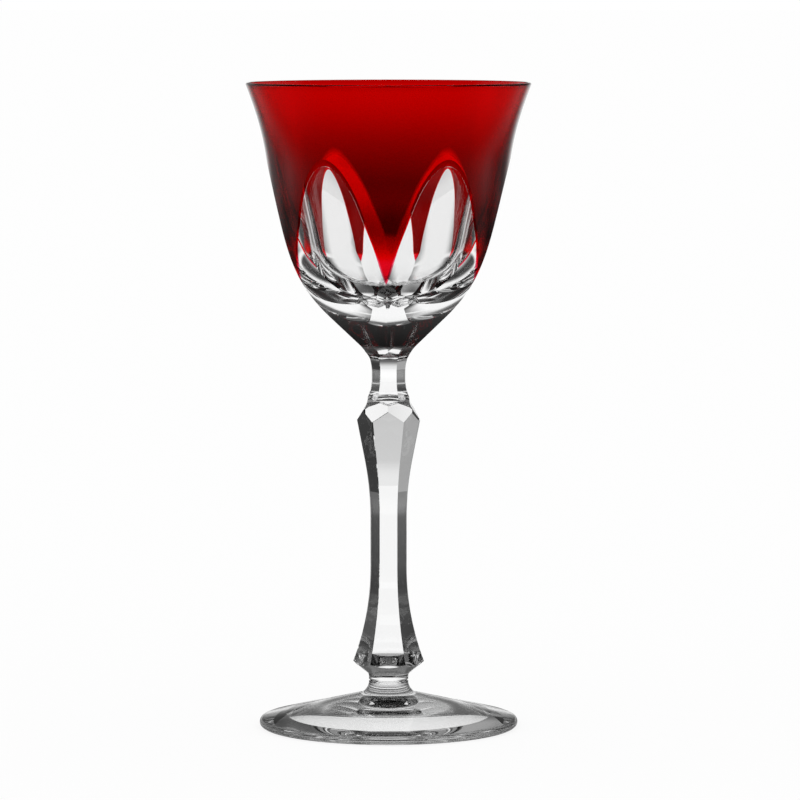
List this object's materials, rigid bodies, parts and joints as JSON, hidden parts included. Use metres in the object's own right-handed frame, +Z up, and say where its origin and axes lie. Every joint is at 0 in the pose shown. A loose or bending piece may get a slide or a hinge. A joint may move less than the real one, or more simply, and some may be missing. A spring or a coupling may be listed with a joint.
{
  "type": "stemmed wine glass",
  "caption": "Stemmed red wine glass: bell-shaped crystal bowl cased in ruby with cut panels, faceted solid stem with a bevelled knop, and a round sloping foot.",
  "frame": {"origin": "centre of the foot on the plane that the glass stands on", "axes": "+Z up along the axis of the glass, -Y towards a corner between two panel cuts of the bowl and a flat of the stem"},
  "size_m": [0.09, 0.09, 0.2032],
  "materials": {
    "crystal": "polished clear cut crystal",
    "ruby": "polished ruby overlay glass"
  },
  "bodies": {
    "root": {"crystal_bowl": "crystal", "ruby_casing": "ruby", "stem": "crystal", "foot": "crystal"}
  },
  "joints": []
}
